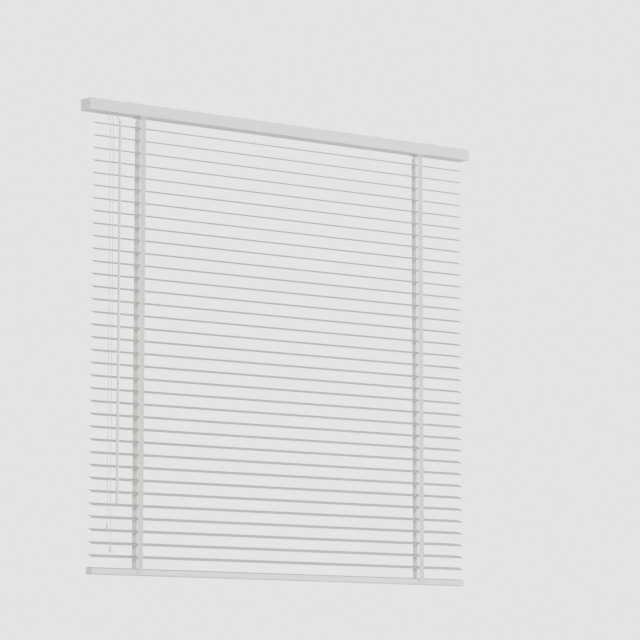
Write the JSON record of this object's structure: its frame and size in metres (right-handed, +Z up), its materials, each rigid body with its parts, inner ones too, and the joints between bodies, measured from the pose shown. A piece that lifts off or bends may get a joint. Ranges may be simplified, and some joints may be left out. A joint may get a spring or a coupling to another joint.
{
  "type": "venetian blind",
  "caption": "Wide venetian blind, fully lowered: boxed headrail, crowned slats on two tape ladders, bottom rail, tilt wand and pull cords with tassels.",
  "frame": {"origin": "on the top face of the middle mounting bracket, at the centre of its two screw holes", "axes": "+X along the headrail to the right seen from the room, +Y towards the window or wall, +Z up"},
  "size_m": [1.671, 0.0593, 1.616],
  "materials": {
    "headrail_paint": "white powder coat on folded steel",
    "end_caps": "white moulded plastic",
    "bracket_steel": "zinc-plated pressed steel",
    "clear_white_moulding": "white moulded plastic",
    "rod_steel": "drawn plated steel",
    "drum_plastic": "white moulded acetal",
    "gear_plastic": "natural moulded acetal",
    "wand_plastic": "white extruded plastic",
    "slat_enamel": "white stove enamel on rolled aluminium",
    "tape_cotton": "white woven cotton tape",
    "cord_braid": "white braided polyester cord",
    "tassel_plastic": "white moulded plastic",
    "rail_paint": "white powder coat on rolled steel"
  },
  "bodies": {
    "headrail_assembly": {"headrail": "headrail_paint", "headrail_end_caps": "end_caps", "mounting_brackets": "bracket_steel", "tape_cradles": "clear_white_moulding", "tilter_housing": "drum_plastic", "cord_lock_housing": "bracket_steel", "lift_cords": "cord_braid"},
    "wand": {"wand": "wand_plastic"},
    "worm": {"tilter_worm": "gear_plastic"},
    "tilt_shaft": {"tilt_rod": "rod_steel", "tape_drums": "drum_plastic", "tilter_gear": "gear_plastic"},
    "lock_roller": {"cord_lock_roller": "rod_steel"},
    "front_tapes": {"front_tapes": "tape_cotton"},
    "back_tapes": {"back_tapes": "tape_cotton"},
    "bottom_rail": {"bottom_rail": "rail_paint", "bottom_rail_end_caps": "end_caps", "tape_clips": "end_caps", "slat_36": "slat_enamel"},
    "cord_at_slat_32": {"lift_cord_section_32": "cord_braid"},
    "cord_at_slat_33": {"lift_cord_section_33": "cord_braid"},
    "cord_at_slat_34": {"lift_cord_section_34": "cord_braid"},
    "cord_at_slat_35": {"lift_cord_section_35": "cord_braid"},
    "slat_01": {"slat_01": "slat_enamel"},
    "slat_02": {"slat_02": "slat_enamel"},
    "slat_03": {"slat_03": "slat_enamel"},
    "slat_04": {"slat_04": "slat_enamel"},
    "slat_05": {"slat_05": "slat_enamel"},
    "slat_06": {"slat_06": "slat_enamel"},
    "slat_07": {"slat_07": "slat_enamel"},
    "slat_08": {"slat_08": "slat_enamel"},
    "slat_09": {"slat_09": "slat_enamel"},
    "slat_10": {"slat_10": "slat_enamel"},
    "slat_11": {"slat_11": "slat_enamel"},
    "slat_12": {"slat_12": "slat_enamel"},
    "slat_13": {"slat_13": "slat_enamel"},
    "slat_14": {"slat_14": "slat_enamel"},
    "slat_15": {"slat_15": "slat_enamel"},
    "slat_16": {"slat_16": "slat_enamel"},
    "slat_17": {"slat_17": "slat_enamel"},
    "slat_18": {"slat_18": "slat_enamel"},
    "slat_19": {"slat_19": "slat_enamel"},
    "slat_20": {"slat_20": "slat_enamel"},
    "slat_21": {"slat_21": "slat_enamel"},
    "slat_22": {"slat_22": "slat_enamel"},
    "slat_23": {"slat_23": "slat_enamel"},
    "slat_24": {"slat_24": "slat_enamel"},
    "slat_25": {"slat_25": "slat_enamel"},
    "slat_26": {"slat_26": "slat_enamel"},
    "slat_27": {"slat_27": "slat_enamel"},
    "slat_28": {"slat_28": "slat_enamel"},
    "slat_29": {"slat_29": "slat_enamel"},
    "slat_30": {"slat_30": "slat_enamel"},
    "slat_31": {"slat_31": "slat_enamel"},
    "slat_32": {"slat_32": "slat_enamel"},
    "slat_33": {"slat_33": "slat_enamel"},
    "slat_34": {"slat_34": "slat_enamel"},
    "slat_35": {"slat_35": "slat_enamel"},
    "pull_cords": {"pull_cords": "cord_braid", "tassels": "tassel_plastic"}
  },
  "joints": [
    {"name": "wand_turn", "type": "hinge", "parent": "headrail_assembly", "child": "wand", "pos_m": [-0.711, -0.0255, -0.071], "axis": [0, 0, 1], "range_deg": [-1710, 990]},
    {"name": "worm_turn", "type": "hinge", "parent": "headrail_assembly", "child": "worm", "pos_m": [-0.711, 0, -0.042], "axis": [0, 0.6603, 0.751], "range_deg": [-1710, 990]},
    {"name": "shaft_tilt", "type": "hinge", "parent": "headrail_assembly", "child": "tilt_shaft", "pos_m": [0, 0, -0.02], "axis": [1, 0, 0], "range_deg": [-95, 55]},
    {"name": "front_tape_travel", "type": "slide", "parent": "headrail_assembly", "child": "front_tapes", "axis": [0, 0, 1], "range_m": [-0.01344, 0.02321]},
    {"name": "back_tape_travel", "type": "slide", "parent": "headrail_assembly", "child": "back_tapes", "axis": [0, 0, 1], "range_m": [-0.02321, 0.01344]},
    {"name": "lift", "type": "slide", "parent": "headrail_assembly", "child": "bottom_rail", "axis": [0, 0, 1], "range_m": [0, 0.165], "deforming": ["front_tapes", "back_tapes", "lift_cord_section_32", "lift_cord_section_33", "lift_cord_section_34", "lift_cord_section_35"]},
    {"name": "gather_32", "type": "slide", "parent": "headrail_assembly", "child": "cord_at_slat_32", "axis": [0, 0, 1], "range_m": [0, 0.03732]},
    {"name": "gather_33", "type": "slide", "parent": "headrail_assembly", "child": "cord_at_slat_33", "axis": [0, 0, 1], "range_m": [0, 0.07464]},
    {"name": "gather_34", "type": "slide", "parent": "headrail_assembly", "child": "cord_at_slat_34", "axis": [0, 0, 1], "range_m": [0, 0.11196]},
    {"name": "gather_35", "type": "slide", "parent": "headrail_assembly", "child": "cord_at_slat_35", "axis": [0, 0, 1], "range_m": [0, 0.14927]},
    {"name": "slat_01_tilt", "type": "hinge", "parent": "headrail_assembly", "child": "slat_01", "pos_m": [0, 0, -0.0788], "axis": [1, 0, 0], "range_deg": [-95, 55]},
    {"name": "slat_02_tilt", "type": "hinge", "parent": "headrail_assembly", "child": "slat_02", "pos_m": [0, 0, -0.1221], "axis": [1, 0, 0], "range_deg": [-95, 55]},
    {"name": "slat_03_tilt", "type": "hinge", "parent": "headrail_assembly", "child": "slat_03", "pos_m": [0, 0, -0.1654], "axis": [1, 0, 0], "range_deg": [-95, 55]},
    {"name": "slat_04_tilt", "type": "hinge", "parent": "headrail_assembly", "child": "slat_04", "pos_m": [0, 0, -0.2087], "axis": [1, 0, 0], "range_deg": [-95, 55]},
    {"name": "slat_05_tilt", "type": "hinge", "parent": "headrail_assembly", "child": "slat_05", "pos_m": [0, 0, -0.252], "axis": [1, 0, 0], "range_deg": [-95, 55]},
    {"name": "slat_06_tilt", "type": "hinge", "parent": "headrail_assembly", "child": "slat_06", "pos_m": [0, 0, -0.2953], "axis": [1, 0, 0], "range_deg": [-95, 55]},
    {"name": "slat_07_tilt", "type": "hinge", "parent": "headrail_assembly", "child": "slat_07", "pos_m": [0, 0, -0.3386], "axis": [1, 0, 0], "range_deg": [-95, 55]},
    {"name": "slat_08_tilt", "type": "hinge", "parent": "headrail_assembly", "child": "slat_08", "pos_m": [0, 0, -0.3819], "axis": [1, 0, 0], "range_deg": [-95, 55]},
    {"name": "slat_09_tilt", "type": "hinge", "parent": "headrail_assembly", "child": "slat_09", "pos_m": [0, 0, -0.4252], "axis": [1, 0, 0], "range_deg": [-95, 55]},
    {"name": "slat_10_tilt", "type": "hinge", "parent": "headrail_assembly", "child": "slat_10", "pos_m": [0, 0, -0.4685], "axis": [1, 0, 0], "range_deg": [-95, 55]},
    {"name": "slat_11_tilt", "type": "hinge", "parent": "headrail_assembly", "child": "slat_11", "pos_m": [0, 0, -0.5118], "axis": [1, 0, 0], "range_deg": [-95, 55]},
    {"name": "slat_12_tilt", "type": "hinge", "parent": "headrail_assembly", "child": "slat_12", "pos_m": [0, 0, -0.5551], "axis": [1, 0, 0], "range_deg": [-95, 55]},
    {"name": "slat_13_tilt", "type": "hinge", "parent": "headrail_assembly", "child": "slat_13", "pos_m": [0, 0, -0.5984], "axis": [1, 0, 0], "range_deg": [-95, 55]},
    {"name": "slat_14_tilt", "type": "hinge", "parent": "headrail_assembly", "child": "slat_14", "pos_m": [0, 0, -0.6417], "axis": [1, 0, 0], "range_deg": [-95, 55]},
    {"name": "slat_15_tilt", "type": "hinge", "parent": "headrail_assembly", "child": "slat_15", "pos_m": [0, 0, -0.685], "axis": [1, 0, 0], "range_deg": [-95, 55]},
    {"name": "slat_16_tilt", "type": "hinge", "parent": "headrail_assembly", "child": "slat_16", "pos_m": [0, 0, -0.7283], "axis": [1, 0, 0], "range_deg": [-95, 55]},
    {"name": "slat_17_tilt", "type": "hinge", "parent": "headrail_assembly", "child": "slat_17", "pos_m": [0, 0, -0.7716], "axis": [1, 0, 0], "range_deg": [-95, 55]},
    {"name": "slat_18_tilt", "type": "hinge", "parent": "headrail_assembly", "child": "slat_18", "pos_m": [0, 0, -0.8149], "axis": [1, 0, 0], "range_deg": [-95, 55]},
    {"name": "slat_19_tilt", "type": "hinge", "parent": "headrail_assembly", "child": "slat_19", "pos_m": [0, 0, -0.8582], "axis": [1, 0, 0], "range_deg": [-95, 55]},
    {"name": "slat_20_tilt", "type": "hinge", "parent": "headrail_assembly", "child": "slat_20", "pos_m": [0, 0, -0.9015], "axis": [1, 0, 0], "range_deg": [-95, 55]},
    {"name": "slat_21_tilt", "type": "hinge", "parent": "headrail_assembly", "child": "slat_21", "pos_m": [0, 0, -0.9448], "axis": [1, 0, 0], "range_deg": [-95, 55]},
    {"name": "slat_22_tilt", "type": "hinge", "parent": "headrail_assembly", "child": "slat_22", "pos_m": [0, 0, -0.9881], "axis": [1, 0, 0], "range_deg": [-95, 55]},
    {"name": "slat_23_tilt", "type": "hinge", "parent": "headrail_assembly", "child": "slat_23", "pos_m": [0, 0, -1.0314], "axis": [1, 0, 0], "range_deg": [-95, 55]},
    {"name": "slat_24_tilt", "type": "hinge", "parent": "headrail_assembly", "child": "slat_24", "pos_m": [0, 0, -1.0747], "axis": [1, 0, 0], "range_deg": [-95, 55]},
    {"name": "slat_25_tilt", "type": "hinge", "parent": "headrail_assembly", "child": "slat_25", "pos_m": [0, 0, -1.118], "axis": [1, 0, 0], "range_deg": [-95, 55]},
    {"name": "slat_26_tilt", "type": "hinge", "parent": "headrail_assembly", "child": "slat_26", "pos_m": [0, 0, -1.1613], "axis": [1, 0, 0], "range_deg": [-95, 55]},
    {"name": "slat_27_tilt", "type": "hinge", "parent": "headrail_assembly", "child": "slat_27", "pos_m": [0, 0, -1.2046], "axis": [1, 0, 0], "range_deg": [-95, 55]},
    {"name": "slat_28_tilt", "type": "hinge", "parent": "headrail_assembly", "child": "slat_28", "pos_m": [0, 0, -1.2479], "axis": [1, 0, 0], "range_deg": [-95, 55]},
    {"name": "slat_29_tilt", "type": "hinge", "parent": "headrail_assembly", "child": "slat_29", "pos_m": [0, 0, -1.2912], "axis": [1, 0, 0], "range_deg": [-95, 55]},
    {"name": "slat_30_tilt", "type": "hinge", "parent": "headrail_assembly", "child": "slat_30", "pos_m": [0, 0, -1.3345], "axis": [1, 0, 0], "range_deg": [-95, 55]},
    {"name": "slat_31_tilt", "type": "hinge", "parent": "headrail_assembly", "child": "slat_31", "pos_m": [0, 0, -1.3778], "axis": [1, 0, 0], "range_deg": [-95, 55]},
    {"name": "slat_32_tilt", "type": "hinge", "parent": "cord_at_slat_32", "child": "slat_32", "pos_m": [0, 0, -1.4211], "axis": [1, 0, 0], "range_deg": [-95, 55]},
    {"name": "slat_33_tilt", "type": "hinge", "parent": "cord_at_slat_33", "child": "slat_33", "pos_m": [0, 0, -1.4644], "axis": [1, 0, 0], "range_deg": [-95, 55]},
    {"name": "slat_34_tilt", "type": "hinge", "parent": "cord_at_slat_34", "child": "slat_34", "pos_m": [0, 0, -1.5077], "axis": [1, 0, 0], "range_deg": [-95, 55]},
    {"name": "slat_35_tilt", "type": "hinge", "parent": "cord_at_slat_35", "child": "slat_35", "pos_m": [0, 0, -1.551], "axis": [1, 0, 0], "range_deg": [-95, 55]},
    {"name": "cord_pull", "type": "slide", "parent": "headrail_assembly", "child": "pull_cords", "axis": [0, 0, 1], "range_m": [-0.165, 0], "deforming": ["pull_cords"]},
    {"name": "cord_lock_grip", "type": "slide", "parent": "headrail_assembly", "child": "lock_roller", "axis": [0, -1, 0], "range_m": [0, 0.003]}
  ],
  "couplings": [
    {"joint": "worm_turn", "follows": "wand_turn", "ratio": 1},
    {"joint": "shaft_tilt", "follows": "wand_turn", "ratio": 0.055556},
    {"joint": "front_tape_travel", "follows": "wand_turn", "m_per_rad": -0.00077778},
    {"joint": "back_tape_travel", "follows": "wand_turn", "m_per_rad": 0.00077778},
    {"joint": "gather_32", "follows": "lift", "ratio": 0.22606},
    {"joint": "gather_33", "follows": "lift", "ratio": 0.45212},
    {"joint": "gather_34", "follows": "lift", "ratio": 0.67818},
    {"joint": "gather_35", "follows": "lift", "ratio": 0.90424},
    {"joint": "slat_01_tilt", "follows": "wand_turn", "ratio": 0.055556},
    {"joint": "slat_02_tilt", "follows": "wand_turn", "ratio": 0.055556},
    {"joint": "slat_03_tilt", "follows": "wand_turn", "ratio": 0.055556},
    {"joint": "slat_04_tilt", "follows": "wand_turn", "ratio": 0.055556},
    {"joint": "slat_05_tilt", "follows": "wand_turn", "ratio": 0.055556},
    {"joint": "slat_06_tilt", "follows": "wand_turn", "ratio": 0.055556},
    {"joint": "slat_07_tilt", "follows": "wand_turn", "ratio": 0.055556},
    {"joint": "slat_08_tilt", "follows": "wand_turn", "ratio": 0.055556},
    {"joint": "slat_09_tilt", "follows": "wand_turn", "ratio": 0.055556},
    {"joint": "slat_10_tilt", "follows": "wand_turn", "ratio": 0.055556},
    {"joint": "slat_11_tilt", "follows": "wand_turn", "ratio": 0.055556},
    {"joint": "slat_12_tilt", "follows": "wand_turn", "ratio": 0.055556},
    {"joint": "slat_13_tilt", "follows": "wand_turn", "ratio": 0.055556},
    {"joint": "slat_14_tilt", "follows": "wand_turn", "ratio": 0.055556},
    {"joint": "slat_15_tilt", "follows": "wand_turn", "ratio": 0.055556},
    {"joint": "slat_16_tilt", "follows": "wand_turn", "ratio": 0.055556},
    {"joint": "slat_17_tilt", "follows": "wand_turn", "ratio": 0.055556},
    {"joint": "slat_18_tilt", "follows": "wand_turn", "ratio": 0.055556},
    {"joint": "slat_19_tilt", "follows": "wand_turn", "ratio": 0.055556},
    {"joint": "slat_20_tilt", "follows": "wand_turn", "ratio": 0.055556},
    {"joint": "slat_21_tilt", "follows": "wand_turn", "ratio": 0.055556},
    {"joint": "slat_22_tilt", "follows": "wand_turn", "ratio": 0.055556},
    {"joint": "slat_23_tilt", "follows": "wand_turn", "ratio": 0.055556},
    {"joint": "slat_24_tilt", "follows": "wand_turn", "ratio": 0.055556},
    {"joint": "slat_25_tilt", "follows": "wand_turn", "ratio": 0.055556},
    {"joint": "slat_26_tilt", "follows": "wand_turn", "ratio": 0.055556},
    {"joint": "slat_27_tilt", "follows": "wand_turn", "ratio": 0.055556},
    {"joint": "slat_28_tilt", "follows": "wand_turn", "ratio": 0.055556},
    {"joint": "slat_29_tilt", "follows": "wand_turn", "ratio": 0.055556},
    {"joint": "slat_30_tilt", "follows": "wand_turn", "ratio": 0.055556},
    {"joint": "slat_31_tilt", "follows": "wand_turn", "ratio": 0.055556},
    {"joint": "slat_32_tilt", "follows": "wand_turn", "ratio": 0.055556},
    {"joint": "slat_33_tilt", "follows": "wand_turn", "ratio": 0.055556},
    {"joint": "slat_34_tilt", "follows": "wand_turn", "ratio": 0.055556},
    {"joint": "slat_35_tilt", "follows": "wand_turn", "ratio": 0.055556},
    {"joint": "cord_pull", "follows": "lift", "ratio": -1}
  ]
}
